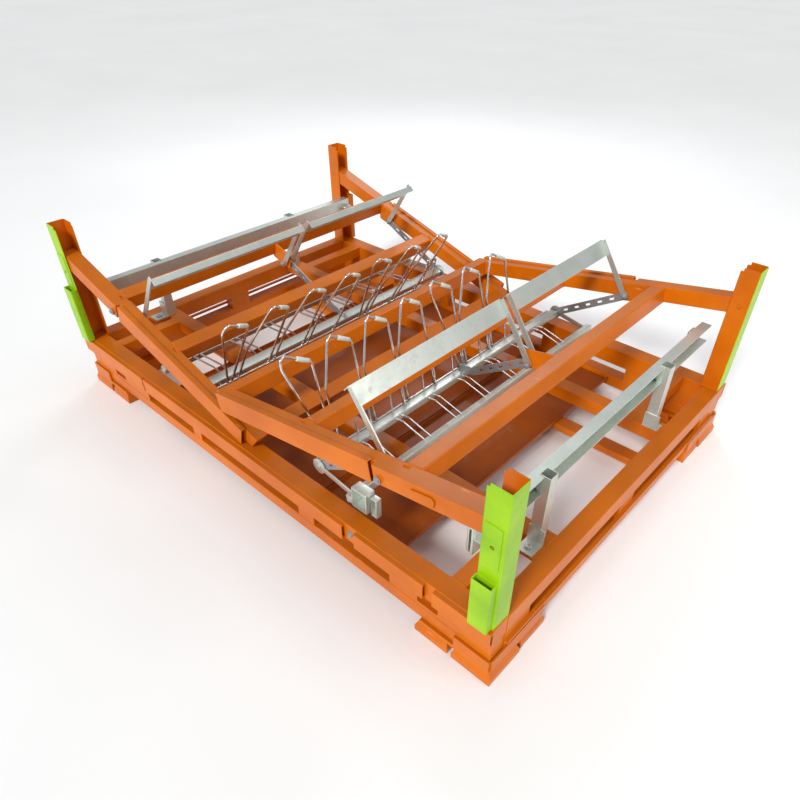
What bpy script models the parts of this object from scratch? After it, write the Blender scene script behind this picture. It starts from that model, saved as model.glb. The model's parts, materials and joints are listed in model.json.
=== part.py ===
"""A folding steel transport rack, lying folded: a low base frame on stacking feet, four corner
posts, and two end gates that hinge in the posts and carry wire finger combs and swing bars.
Metres, +Z up, +X along the long side, +Y towards the back. The floor is z = 0."""

import math

import bmesh
import bpy
from mathutils import Matrix, Vector

# Driving dimensions
HALF_LENGTH = 1.125
HALF_WIDTH = 0.775
DECK = 0.240
BASE_BOTTOM = 0.055
RAIL_WIDTH = 0.064
UPPER_TUBE = 0.075
LOWER_TUBE = 0.052
FACE_STANDS_OUT = 0.015
GAP = 0.0003
POST_TOP = 0.740
POST_WIDE = 0.073
POST_DEEP = 0.072
POST_WALL = 0.004
PIVOT_X = 1.088
PIVOT_Z = 0.600
PIN_RADIUS = 0.008
PIN_HOLE_RADIUS = 0.0085
ARM_HALF_DEPTH = 0.030
ARM_INNER_Y = 0.7085
ARM_OUTER_Y = 0.7675
ARM_SPLIT_Y = 0.748
SIDE_RAIL_HALF_DEPTH = 0.0372
SIDE_RAIL_OUTER_Y = 0.768
BOLT_RADIUS = 0.006
BOLT_HOLE_RADIUS = 0.0068
HINGE_BOLT = (0.440, -0.024)
WIRE_RADIUS = 0.0038
FINGER_RADIUS = 0.0045
ROD_RADIUS = 0.0055
FINGERS = 7

# What differs between the two gates. Places are (along the arm from its pivot, above its plane).
LEFT = {
    "name": "left",
    "toward": 1,
    "beams": ((0.300, 0.360), (0.650, 0.710), (1.150, 1.184)),
    "arm_tip": (1.186, 1.211),
    "side_rail": (0.390, 1.150),
    "comb_front": (0.812, -0.086),
    "comb_back": (0.596, -0.160),
    "rod": (0.850, -0.086),
    "lean": math.radians(15.0),
    "first_finger": -0.585,
    "finger_spacing": 0.1765,
    "finger_height": 0.375,
    "wire_offset": 0.005,
    "short_hoops": (6,),
    "short_hoop_offset": 0.160,
    "swing": (math.radians(72.5), 0.2660, 0.060),
}
RIGHT = {
    "name": "right",
    "toward": -1,
    "beams": ((0.280, 0.340), (0.725, 0.780), (1.160, 1.198)),
    "arm_tip": (1.200, 1.222),
    "side_rail": (0.430, 1.195),
    "comb_front": (0.770, -0.150),
    "comb_back": (0.616, -0.206),
    "rod": (0.808, -0.150),
    "lean": math.radians(3.5),
    "first_finger": -0.600,
    "finger_spacing": 0.1705,
    "finger_height": 0.320,
    "wire_offset": 0.085,
    "short_hoops": (1, 2, 3, 4, 5, 6),
    "short_hoop_offset": 0.0,
    "swing": (math.radians(65.9), 0.2450, 0.066),
}

# The left gate rests on the base's top and the right gate on the left one.
def dip_to_reach(depth, along, half_depth):
    """How far an arm dips for its lower corner to lie this deep below its pivot."""
    return math.asin(depth / math.hypot(along, half_depth)) - math.atan(half_depth / along)


LEFT["dip"] = dip_to_reach(PIVOT_Z - DECK - GAP, LEFT["arm_tip"][0], ARM_HALF_DEPTH)
RIGHT["dip"] = (
    dip_to_reach(
        2 * PIVOT_X * math.sin(LEFT["dip"]) - SIDE_RAIL_HALF_DEPTH - GAP,
        RIGHT["side_rail"][1],
        SIDE_RAIL_HALF_DEPTH,
    )
    - LEFT["dip"]
)

PAINTS = {
    "orange": ((0.86, 0.22, 0.015), 0.32, 0.0),
    "brown_orange": ((0.42, 0.09, 0.012), 0.45, 0.0),
    "lime": ((0.36, 0.72, 0.02), 0.35, 0.0),
    "zinc": ((0.62, 0.66, 0.62), 0.42, 0.9),
    "wire": ((0.74, 0.75, 0.75), 0.22, 1.0),
}


def clear_scene():
    for thing in list(bpy.data.objects):
        bpy.data.objects.remove(thing, do_unlink=True)


def painted(name, finish):
    colour, roughness, metallic = PAINTS[finish]
    material = bpy.data.materials.new(name + "_finish")
    material.use_nodes = True
    shader = material.node_tree.nodes["Principled BSDF"]
    shader.inputs["Base Color"].default_value = (*colour, 1.0)
    shader.inputs["Roughness"].default_value = roughness
    shader.inputs["Metallic"].default_value = metallic
    return material


# Closed shapes, each a bmesh of its own

def rounded_outline(low, high, radius, steps=2):
    """A rectangle with rounded corners, as points going round it."""
    corners = (
        (high[0] - radius, high[1] - radius, 0),
        (low[0] + radius, high[1] - radius, 90),
        (low[0] + radius, low[1] + radius, 180),
        (high[0] - radius, low[1] + radius, 270),
    )
    points = []
    for x, y, start in corners:
        for step in range(steps + 1):
            angle = math.radians(start + 90 * step / steps)
            points.append((x + radius * math.cos(angle), y + radius * math.sin(angle)))
    return points


def extruded(outline, low, high, place):
    """An outline (a, b) pulled from low to high; place turns (a, b, c) into x, y, z."""
    shape = bmesh.new()
    rings = []
    for level in (low, high):
        rings.append([shape.verts.new(place(a, b, level)) for a, b in outline])
    shape.faces.new(rings[0][::-1])
    shape.faces.new(rings[1])
    for i in range(len(outline)):
        j = (i + 1) % len(outline)
        shape.faces.new((rings[0][i], rings[0][j], rings[1][j], rings[1][i]))
    bmesh.ops.recalc_face_normals(shape, faces=shape.faces)
    return shape


def box(low, high):
    outline = ((low[0], low[1]), (high[0], low[1]), (high[0], high[1]), (low[0], high[1]))
    return extruded(outline, low[2], high[2], lambda a, b, c: (a, b, c))


def bar_x(low, high, radius=0.004):
    """A tube along X with rounded long edges."""
    outline = rounded_outline((low[1], low[2]), (high[1], high[2]), radius)
    return extruded(outline, low[0], high[0], lambda a, b, c: (c, a, b))


def bar_y(low, high, radius=0.004):
    outline = rounded_outline((low[0], low[2]), (high[0], high[2]), radius)
    return extruded(outline, low[1], high[1], lambda a, b, c: (a, c, b))


def bar_z(low, high, radius=0.004):
    outline = rounded_outline((low[0], low[1]), (high[0], high[1]), radius)
    return extruded(outline, low[2], high[2], lambda a, b, c: (a, b, c))


def round_y(centre, radius, low, high, sides=12):
    """A round bar along Y about the point centre (x, z)."""
    outline = [
        (
            centre[0] + radius * math.cos(math.tau * (i + 0.5) / sides),
            centre[1] + radius * math.sin(math.tau * (i + 0.5) / sides),
        )
        for i in range(sides)
    ]
    return extruded(outline, low, high, lambda a, b, c: (a, c, b))


def round_z(centre, radius, low, high, sides=6):
    outline = [
        (
            centre[0] + radius * math.cos(math.tau * i / sides),
            centre[1] + radius * math.sin(math.tau * i / sides),
        )
        for i in range(sides)
    ]
    return extruded(outline, low, high, lambda a, b, c: (a, b, c))


def wire(points, radius, sides=6):
    """A round wire along straight runs, mitred where they meet."""
    points = [Vector(point) for point in points]
    shape = bmesh.new()
    rings = []
    first = (points[1] - points[0]).normalized()
    across = first.orthogonal().normalized()
    for i, point in enumerate(points):
        before = (point - points[i - 1]).normalized() if i else first
        after = (points[i + 1] - point).normalized() if i + 1 < len(points) else before
        along = (before + after).normalized()
        across = (across - along * across.dot(along)).normalized()
        beside = along.cross(across)
        rings.append(
            [
                shape.verts.new(
                    point
                    + radius * math.cos(math.tau * k / sides) * across
                    + radius * math.sin(math.tau * k / sides) * beside
                )
                for k in range(sides)
            ]
        )
    shape.faces.new(rings[0][::-1])
    shape.faces.new(rings[-1])
    for one, other in zip(rings, rings[1:]):
        for k in range(sides):
            m = (k + 1) % sides
            shape.faces.new((one[k], one[m], other[m], other[k]))
    bmesh.ops.recalc_face_normals(shape, faces=shape.faces)
    return shape


def tapered(low, high, top_inset):
    """A block whose top is smaller all round."""
    shape = bmesh.new()
    rings = []
    for z, inset in ((low[2], 0.0), (high[2], top_inset)):
        rings.append(
            [
                shape.verts.new((x, y, z))
                for x, y in (
                    (low[0] + inset, low[1] + inset),
                    (high[0] - inset, low[1] + inset),
                    (high[0] - inset, high[1] - inset),
                    (low[0] + inset, high[1] - inset),
                )
            ]
        )
    shape.faces.new(rings[0][::-1])
    shape.faces.new(rings[1])
    for i in range(4):
        j = (i + 1) % 4
        shape.faces.new((rings[0][i], rings[0][j], rings[1][j], rings[1][i]))
    return shape


def mirrored(shapes, across_x, across_y):
    """The same shapes on the other side of the rack, where a sign is -1."""
    turn = Matrix.Diagonal((across_x, across_y, 1, 1))
    for shape in shapes:
        bmesh.ops.transform(shape, matrix=turn, verts=shape.verts)
        bmesh.ops.recalc_face_normals(shape, faces=shape.faces)
    return shapes


# Objects

def mesh_of(name, shapes):
    whole = bmesh.new()
    for shape in shapes:
        part = bpy.data.meshes.new("part")
        shape.to_mesh(part)
        whole.from_mesh(part)
        bpy.data.meshes.remove(part)
        shape.free()
    mesh = bpy.data.meshes.new(name)
    whole.to_mesh(mesh)
    whole.free()
    return mesh


def add_boolean(target, operation, shapes):
    helper = bpy.data.objects.new("helper", mesh_of("helper", shapes))
    bpy.context.scene.collection.objects.link(helper)
    modifier = target.modifiers.new(operation.lower(), "BOOLEAN")
    modifier.operation = operation
    modifier.object = helper
    modifier.use_self = True
    return helper


def settle_mesh(target, helpers):
    """Keeps what the Booleans made, with flat faces whole again."""
    graph = bpy.context.evaluated_depsgraph_get()
    result = bpy.data.meshes.new_from_object(target.evaluated_get(graph))
    target.modifiers.clear()
    tidy = bmesh.new()
    tidy.from_mesh(result)
    bmesh.ops.remove_doubles(tidy, verts=tidy.verts, dist=1e-6)
    bmesh.ops.dissolve_limit(
        tidy, angle_limit=math.radians(0.05), verts=tidy.verts, edges=tidy.edges
    )
    bmesh.ops.triangulate(tidy, faces=tidy.faces)
    tidy.to_mesh(result)
    tidy.free()
    target.data = result
    for helper in helpers:
        bpy.data.objects.remove(helper, do_unlink=True)


def make_piece(name, finish, solids, cuts=(), parent=None):
    """One object: the first solid, the others joined to it, and the cuts taken away."""
    piece = bpy.data.objects.new(name, mesh_of(name, solids[:1]))
    bpy.context.scene.collection.objects.link(piece)
    helpers = []
    if len(solids) > 1:
        helpers.append(add_boolean(piece, "UNION", solids[1:]))
    if cuts:
        helpers.append(add_boolean(piece, "DIFFERENCE", list(cuts)))
    if helpers:
        settle_mesh(piece, helpers)
    piece.data.name = name
    piece.data.materials.clear()
    piece.data.materials.append(painted(name, finish))
    piece.data.shade_smooth()
    piece.data.set_sharp_from_angle(angle=math.radians(35))
    piece.parent = parent
    return piece


# Base frame

WINDOWS = ((-0.660, -0.330), (-0.275, 0.305), (0.385, 0.735))
FACE_STRIPS = ((-HALF_LENGTH, -0.638), (-0.630, 0.547), (0.600, 0.884), (0.920, HALF_LENGTH))
STRIP_HOLLOW = 0.060


def long_rail_shapes():
    """The front rail: an upper and a lower tube, webs between them, and a face strip outside."""
    outer = -HALF_WIDTH
    inner = outer + RAIL_WIDTH
    shapes = [
        bar_x((-HALF_LENGTH, outer, DECK - UPPER_TUBE), (HALF_LENGTH, inner, DECK)),
        bar_x((-HALF_LENGTH, outer, BASE_BOTTOM), (HALF_LENGTH, inner, BASE_BOTTOM + LOWER_TUBE)),
    ]
    edges = [-HALF_LENGTH + 0.002, *(x for window in WINDOWS for x in window), HALF_LENGTH - 0.002]
    for start, end in zip(edges[0::2], edges[1::2]):
        shapes.append(box((start, outer + 0.002, BASE_BOTTOM + 0.01), (end, inner - 0.002, DECK - 0.01)))
    cuts = []
    for start, end in FACE_STRIPS:
        low = (start, outer - FACE_STANDS_OUT, 0.172)
        shapes.append(bar_x(low, (end, outer + 0.004, 0.2365), 0.003))
        hollow_low = (end - STRIP_HOLLOW, outer - FACE_STANDS_OUT + 0.003, 0.182)
        cuts.append(box(hollow_low, (end + 0.01, outer - 0.001, 0.228)))
    for side in (-1, 1):
        recess = sorted((side * 0.850, side * 0.930))
        cuts.append(box((recess[0], outer - 0.02, 0.120), (recess[1], outer + 0.02, 0.162)))
    return shapes, cuts


def make_long_rails():
    for name, side in (("front_rail", 1), ("back_rail", -1)):
        shapes, cuts = long_rail_shapes()
        make_piece(name, "orange", mirrored(shapes, 1, side), mirrored(cuts, 1, side))


END_WINDOWS = ((-0.590, -0.060), (0.040, 0.590))


def make_end_rails():
    """The end rails fit between the long ones and carry a tab for the end support's foot."""
    reach = HALF_WIDTH - RAIL_WIDTH - GAP
    outer = HALF_LENGTH + 0.002
    inner = outer - RAIL_WIDTH
    for name, side in (("right_end_rail", 1), ("left_end_rail", -1)):
        shapes = [
            bar_y((inner, -reach, DECK - 0.070), (outer, reach, DECK)),
            bar_y((inner, -reach, BASE_BOTTOM), (outer, reach, BASE_BOTTOM + LOWER_TUBE)),
            box((outer - 0.004, -reach, 0.118), (outer + 0.010, reach, 0.126)),
            box((inner - 0.062, -0.505, DECK - 0.006), (inner + 0.010, -0.4360, DECK)),
        ]
        edges = [-reach + 0.001, *(y for window in END_WINDOWS for y in window), reach - 0.001]
        for start, end in zip(edges[0::2], edges[1::2]):
            shapes.append(
                box((inner + 0.002, start, BASE_BOTTOM + 0.01), (outer - 0.002, end, DECK - 0.01))
            )
        make_piece(name, "orange", mirrored(shapes, side, 1))


FOOT_TOP = BASE_BOTTOM - GAP
CUPS = (
    ((1.000, -0.790), (1.142, -0.640)),
    ((0.856, -0.790), (0.985, -0.680)),
    ((1.010, -0.627), (1.137, -0.503)),
)


def foot_shapes():
    """Three stacking cups at one corner under a common plate, the corner one open below."""
    shapes = [
        box((0.870, -0.784, FOOT_TOP - 0.014), (1.130, -0.700, FOOT_TOP)),
        box((1.030, -0.784, FOOT_TOP - 0.014), (1.130, -0.515, FOOT_TOP)),
        box((1.000, -0.784, FOOT_TOP - 0.014), (1.128, -0.7756, 0.098)),
        box((1.1276, -0.774, FOOT_TOP - 0.014), (1.134, -0.515, 0.098)),
    ]
    for low, high in CUPS:
        shapes.append(box((*low, 0.0), (*high, 0.022)))
        shapes.append(tapered((*low, 0.0215), (*high, FOOT_TOP - 0.001), 0.014))
    (x_low, y_low), (x_high, y_high) = CUPS[0]
    wall = 0.008
    hollow = tapered(
        (x_low + wall, y_low + wall, -0.002), (x_high - wall, y_high - wall, 0.038), 0.016
    )
    return shapes, [hollow]


def make_feet():
    for name, side_x, side_y in (
        ("front_right_foot", 1, 1),
        ("front_left_foot", -1, 1),
        ("back_right_foot", 1, -1),
        ("back_left_foot", -1, -1),
    ):
        shapes, cuts = foot_shapes()
        make_piece(name, "orange", mirrored(shapes, side_x, side_y), mirrored(cuts, side_x, side_y))


def post_shapes(pocket_top):
    """A U-shaped post open towards the rack's middle, with a stake pocket on its outer face."""
    outer_x = HALF_LENGTH - 0.002
    inner_x = outer_x - POST_WIDE
    outer_y = -HALF_WIDTH
    inner_y = outer_y + POST_DEEP
    foot = DECK + GAP
    solids = [
        bar_z((inner_x, outer_y, foot), (outer_x, inner_y, POST_TOP), 0.006),
        box((inner_x + 0.010, outer_y - 0.003, 0.478), (inner_x + 0.062, outer_y + 0.002, 0.622)),
        bar_z((inner_x, -0.800, foot), (inner_x + 0.065, outer_y + 0.002, pocket_top), 0.004),
    ]
    channel = box(
        (inner_x - 0.01, outer_y + POST_WALL, foot - 0.01),
        (outer_x - POST_WALL, inner_y - POST_WALL, POST_TOP + 0.01),
    )
    pocket = box(
        (inner_x + 0.004, -0.7965, foot + 0.02),
        (inner_x + 0.061, -0.7785, pocket_top + 0.01),
    )
    rounding = box(
        (inner_x - 0.01, outer_y - 0.01, POST_TOP - 0.012),
        (inner_x + 0.012, inner_y + 0.01, POST_TOP + 0.01),
    )
    pin_hole = round_y((PIVOT_X, PIVOT_Z), PIN_HOLE_RADIUS, outer_y + 0.0015, inner_y + 0.01, 16)
    lock_hole = round_y((PIVOT_X, 0.549), 0.007, outer_y - 0.01, outer_y + POST_WALL + 0.001, 12)
    return solids, [channel, pocket, rounding, pin_hole, lock_hole]


def make_posts():
    for name, finish, side_x, side_y, pocket_top in (
        ("front_right_post", "lime", 1, 1, 0.425),
        ("front_left_post", "lime", -1, 1, 0.480),
        ("back_right_post", "orange", 1, -1, 0.425),
        ("back_left_post", "orange", -1, -1, 0.480),
    ):
        shapes, cuts = post_shapes(pocket_top)
        make_piece(name, finish, mirrored(shapes, side_x, side_y), mirrored(cuts, side_x, side_y))


FLOOR_SPLIT = 0.277
FLOOR_END = 0.668
FLOOR_BARS_TOP = BASE_BOTTOM + 0.030


def make_deck():
    """Two long bars level with the rails, two flat ones under the floor pans, and the pans."""
    reach = HALF_LENGTH + 0.002 - RAIL_WIDTH - GAP
    rail_face = HALF_WIDTH - RAIL_WIDTH - GAP
    for name, side, inner in (("front_deck_bar", -1, 0.370), ("back_deck_bar", 1, 0.305)):
        low, high = sorted((side * inner, side * (inner + 0.065)))
        solids = [bar_x((-reach, low, DECK - 0.055), (reach, high, DECK), 0.005)]
        stub = sorted((side * (inner + 0.060), side * rail_face))
        for x in (-0.980, 0.925):
            solids.append(bar_y((x, stub[0], DECK - 0.0545), (x + 0.055, stub[1], DECK - 0.0005)))
        make_piece(name, "orange", solids)
    for name, side in (("front_floor_bar", -1), ("back_floor_bar", 1)):
        low, high = sorted((side * 0.275, side * 0.340))
        make_piece(
            name, "orange", [bar_x((-reach, low, BASE_BOTTOM), (reach, high, FLOOR_BARS_TOP), 0.004)]
        )
    pan_low = FLOOR_BARS_TOP + GAP
    reach_y = HALF_WIDTH - RAIL_WIDTH - 0.002
    for name, start, end in (
        ("left_floor_pan", -FLOOR_END, FLOOR_SPLIT - 0.006),
        ("right_floor_pan", FLOOR_SPLIT + 0.006, FLOOR_END),
    ):
        solids = [
            box((start, -reach_y, pan_low), (end, reach_y, pan_low + 0.004)),
            box((start, -reach_y, pan_low + 0.001), (start + 0.004, reach_y, pan_low + 0.022)),
            box((end - 0.004, -reach_y, pan_low + 0.001), (end, reach_y, pan_low + 0.014)),
        ]
        make_piece(name, "brown_orange", solids)


def make_end_supports():
    """A galvanised channel across each end on two square uprights with angle feet."""
    top = 0.500
    for name, side in (("right_end_support", 1), ("left_end_support", -1)):
        web_x = 0.982
        solids = [
            box((web_x, -0.700, 0.430), (web_x + 0.004, 0.700, top)),
            box((web_x + 0.001, -0.700, top - 0.004), (web_x + 0.038, 0.700, top - 0.0002)),
            box((web_x + 0.001, -0.700, 0.4302), (web_x + 0.038, 0.700, 0.434)),
        ]
        cuts = []
        for y in (-0.420, 0.325):
            low, high = y - 0.020, y + 0.020
            solids.append(bar_z((1.002, low, DECK + GAP), (1.042, high, top + 0.002), 0.003))
            solids.append(box((web_x + 0.002, low + 0.005, 0.440), (1.004, high - 0.005, 0.490)))
            cuts.append(box((1.005, low + 0.003, top - 0.060), (1.039, high - 0.003, top + 0.01)))
            edge = low
            foot_end = edge - 0.062 if y < 0 else edge + 0.003
            solids.append(box((1.000, edge - 0.004, DECK + 0.0008), (1.056, edge + 0.002, DECK + 0.062)))
            if y < 0:
                solids.append(box((1.000, foot_end, DECK + GAP), (1.056, edge, DECK + 0.005)))
                solids.append(round_z((1.028, edge - 0.034), 0.012, DECK + 0.004, DECK + 0.013))
            else:
                solids.append(box((1.040, low + 0.001, DECK + GAP), (1.0595, high, DECK + 0.005)))
        make_piece(name, "zinc", mirrored(solids, side, 1), mirrored(cuts, side, 1))


# Gates

def gate_place(gate):
    """Turns (along the arm, above its plane, across) into the gate's own x, y, z."""
    return lambda along, above, across: (gate["toward"] * along, across, above)


def gate_plate(gate, outline, low, high):
    return extruded(outline, low, high, gate_place(gate))


def gate_box(gate, low, high):
    """A box from (along, across, above) to (along, across, above)."""
    outline = ((low[0], low[2]), (high[0], low[2]), (high[0], high[2]), (low[0], high[2]))
    return gate_plate(gate, outline, low[1], high[1])


def gate_tube(gate, low, high, radius=0.005):
    outline = rounded_outline((low[0], low[2]), (high[0], high[2]), radius)
    return gate_plate(gate, outline, low[1], high[1])


def gate_round(gate, centre, radius, low, high, sides=12):
    return round_y((gate["toward"] * centre[0], centre[1]), radius, low, high, sides)


def gate_wire(gate, points, radius, sides=6):
    return wire([(gate["toward"] * s, y, n) for s, y, n in points], radius, sides)


def arm_outline(end_low, end_high):
    """Round about the pivot and cut off, or slanting, at the other end."""
    points = [
        (
            ARM_HALF_DEPTH * math.cos(math.radians(angle)),
            ARM_HALF_DEPTH * math.sin(math.radians(angle)),
        )
        for angle in range(90, 271, 20)
    ]
    return points + [(end_low, -ARM_HALF_DEPTH), (end_high, ARM_HALF_DEPTH)]


def span(side, low, high):
    """The stretch of Y from low to high on the back side, or its mirror on the front."""
    return sorted((side * low, side * high))


def make_arm(gate, hinge, side):
    name = f"{gate['name']}_{'back' if side > 0 else 'front'}_arm"
    rail_start = gate["side_rail"][0] - 0.014
    beam_end = gate["beams"][0][1]
    bolt_at = rail_start - 0.022
    lug = rounded_outline((beam_end + 0.006, -0.046), (0.466, 0.026), 0.010)
    solids = [
        gate_plate(gate, arm_outline(*gate["arm_tip"]), *span(side, ARM_INNER_Y, ARM_SPLIT_Y)),
        gate_plate(
            gate, arm_outline(rail_start, rail_start), *span(side, ARM_INNER_Y + 0.002, ARM_OUTER_Y)
        ),
        gate_round(gate, (0, 0), PIN_RADIUS, *span(side, 0.7035, HALF_WIDTH - 0.0025), 16),
        gate_plate(gate, lug, *span(side, 0.702, 0.714)),
        gate_round(gate, HINGE_BOLT, BOLT_RADIUS, *span(side, 0.683, 0.705)),
        gate_round(gate, (bolt_at, -0.010), 0.012, *span(side, 0.765, 0.7745), 6),
    ]
    slots = []
    for beam in gate["beams"][:2]:
        low, high = span(side, 0.716, 0.725)
        slots.append(
            gate_box(
                gate,
                (beam[1] - 0.026, low, ARM_HALF_DEPTH - 0.006),
                (beam[1] - 0.002, high, ARM_HALF_DEPTH + 0.004),
            )
        )
    make_piece(name, "orange", solids, slots, hinge)


def make_side_rail(gate, hinge, side):
    """The deeper channel along the arm's outer face, hollow at its end near the post."""
    name = f"{gate['name']}_{'back' if side > 0 else 'front'}_side_rail"
    start, end = gate["side_rail"]
    low, high = span(side, ARM_SPLIT_Y + GAP, SIDE_RAIL_OUTER_Y)
    depth = SIDE_RAIL_HALF_DEPTH
    hollow_low, hollow_high = span(side, ARM_SPLIT_Y + 0.003, SIDE_RAIL_OUTER_Y - 0.003)
    solids = [gate_tube(gate, (start, low, -depth), (end, high, depth), 0.004)]
    hollows = [
        gate_box(
            gate, (start - 0.01, hollow_low, -depth + 0.004), (start + 0.060, hollow_high, depth - 0.004)
        )
    ]
    if gate["toward"] > 0:
        hollows.append(
            gate_box(
                gate, (end - 0.060, hollow_low, -depth + 0.004), (end + 0.01, hollow_high, depth - 0.004)
            )
        )
    make_piece(name, "orange", solids, hollows, hinge)


MIDDLE_LUG = (0.018, 0.024)


def make_beams(gate, hinge):
    """Three cross beams; the one near the post carries the middle lug and its bolt."""
    reach = ARM_INNER_Y - GAP
    for name, (start, end) in zip(("post_beam", "middle_beam", "tip_beam"), gate["beams"]):
        solids = [gate_tube(gate, (start, -reach, -ARM_HALF_DEPTH), (end, reach, ARM_HALF_DEPTH))]
        if name == "tip_beam":
            slant = gate["arm_tip"][1] - gate["arm_tip"][0]
            outline = (
                (start, -ARM_HALF_DEPTH),
                (end, -ARM_HALF_DEPTH),
                (end + slant, ARM_HALF_DEPTH),
                (start, ARM_HALF_DEPTH),
            )
            solids = [gate_plate(gate, outline, -reach, reach)]
        if name == "post_beam":
            lug = rounded_outline((end - 0.010, -0.044), (0.466, 0.026), 0.010)
            solids.append(gate_plate(gate, lug, *MIDDLE_LUG))
            solids.append(gate_round(gate, HINGE_BOLT, BOLT_RADIUS, -0.004, 0.064))
        make_piece(f"{gate['name']}_{name}", "orange", solids, (), hinge)


STRUT_HALF_WIDTH = 0.016


def strut_outline(gate, end):
    """A flat bar from the hinge bolt to the comb, round at the bolt."""
    start = Vector(HINGE_BOLT)
    run = Vector(end) - start
    along = run.normalized()
    beside = Vector((-along.y, along.x))
    points = []
    for centre, first in ((start, 90), (Vector(end), -90)):
        for angle in range(first, first + 181, 45):
            turn = math.radians(angle)
            points.append(
                tuple(centre + STRUT_HALF_WIDTH * (math.cos(turn) * along + math.sin(turn) * beside))
            )
    return points


def strut_slots(gate, end, low, high, count=5):
    """The row of adjusting slots along the strut."""
    start = Vector(HINGE_BOLT)
    run = Vector(end) - start
    along = run.normalized()
    beside = Vector((-along.y, along.x))
    slots = []
    for i in range(count):
        centre = start + run * (0.17 + 0.66 * i / (count - 1))
        corners = [
            tuple(centre + a * 0.011 * along + b * 0.0045 * beside)
            for a, b in ((-1, -1), (1, -1), (1, 1), (-1, 1))
        ]
        slots.append(gate_plate(gate, corners, low - 0.01, high + 0.01))
    return slots


def make_struts(gate, hinge):
    """Slotted flat bars that hold the comb: one inside each arm and one at the middle lug."""
    front = gate["comb_front"]
    for name, low, high in (
        ("front_strut", -0.6990, -0.6945),
        ("back_strut", 0.6945, 0.6990),
    ):
        solids = [gate_plate(gate, strut_outline(gate, front), low, high)]
        cuts = strut_slots(gate, front, low, high)
        cuts += [
            gate_round(gate, place, BOLT_HOLE_RADIUS, low - 0.01, high + 0.01)
            for place in (HINGE_BOLT, front)
        ]
        make_piece(f"{gate['name']}_{name}", "zinc", solids, cuts, hinge)
    rail_top = front[1] + 0.011 + GAP
    foot_start = front[0] - 0.050
    end = (foot_start, rail_top + 0.006)
    low, high = 0.0300, 0.0345
    solids = [
        gate_plate(gate, strut_outline(gate, end), low, high),
        gate_box(
            gate,
            (foot_start - 0.004, low + 0.0005, rail_top),
            (front[0] + 0.016, 0.051, rail_top + 0.004),
        ),
        gate_box(
            gate,
            (foot_start - 0.003, low, rail_top + 0.001),
            (front[0] + 0.010, high - 0.0002, rail_top + 0.024),
        ),
    ]
    cuts = strut_slots(gate, end, low, high)
    cuts.append(gate_round(gate, HINGE_BOLT, BOLT_HOLE_RADIUS, low - 0.01, high + 0.01))
    make_piece(f"{gate['name']}_middle_strut", "zinc", solids, cuts, hinge)


def swing_place(gate, along, above):
    """A point in the swing bar's own directions: along its arms, and towards the tip."""
    turn_cos, turn_sin = math.cos(gate["swing"][0]), math.sin(gate["swing"][0])
    return (
        HINGE_BOLT[0] + along * turn_cos + above * turn_sin,
        HINGE_BOLT[1] + along * turn_sin - above * turn_cos,
    )


def make_swing_bar(gate, name, arm_spans):
    """An angle bar on two flat arms that turn on the hinge bolts."""
    pivot = bpy.data.objects.new(f"{gate['name']}_{name}_hinge", None)
    bpy.context.scene.collection.objects.link(pivot)
    pivot.parent = gate["hinge"]
    pivot.location = (gate["toward"] * HINGE_BOLT[0], 0, HINGE_BOLT[1])
    low, high = arm_spans[0][0], arm_spans[-1][1]
    length, depth = gate["swing"][1:]
    face = [
        swing_place(gate, a, b)
        for a, b in (
            (length - depth, 0.0085),
            (length, 0.0085),
            (length, 0.0115),
            (length - depth, 0.0115),
        )
    ]
    flange = [
        swing_place(gate, a, b)
        for a, b in (
            (length - 0.003, 0.009),
            (length + 0.0002, 0.009),
            (length - 0.006, 0.034),
            (length - 0.009, 0.033),
        )
    ]
    solids = [gate_plate(gate, face, low, high), gate_plate(gate, flange, low + 0.0004, high - 0.0004)]
    cuts = []
    for arm_low, arm_high in arm_spans:
        points = [
            swing_place(
                gate, -0.012 * math.cos(math.radians(turn)), 0.012 * math.sin(math.radians(turn))
            )
            for turn in range(-90, 91, 30)
        ]
        points += [
            swing_place(gate, length - 0.004, 0.0105),
            swing_place(gate, length - 0.004, -0.008),
        ]
        solids.append(gate_plate(gate, points, arm_low + 0.0002, arm_high - 0.0002))
        cuts.append(gate_round(gate, HINGE_BOLT, BOLT_HOLE_RADIUS, arm_low - 0.01, arm_high + 0.01))
    bar = make_piece(f"{gate['name']}_{name}", "zinc", solids, cuts, pivot)
    bar.location = -pivot.location


def make_swing_bars(gate):
    make_swing_bar(gate, "front_swing_bar", ((-0.6920, -0.6870), (0.0060, 0.0110)))
    make_swing_bar(gate, "back_swing_bar", ((0.0490, 0.0540), (0.6870, 0.6920)))


# Combs

def finger_place(gate, index):
    """Where a finger's straight leg stands across the gate."""
    return gate["first_finger"] + gate["finger_spacing"] * index


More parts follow.
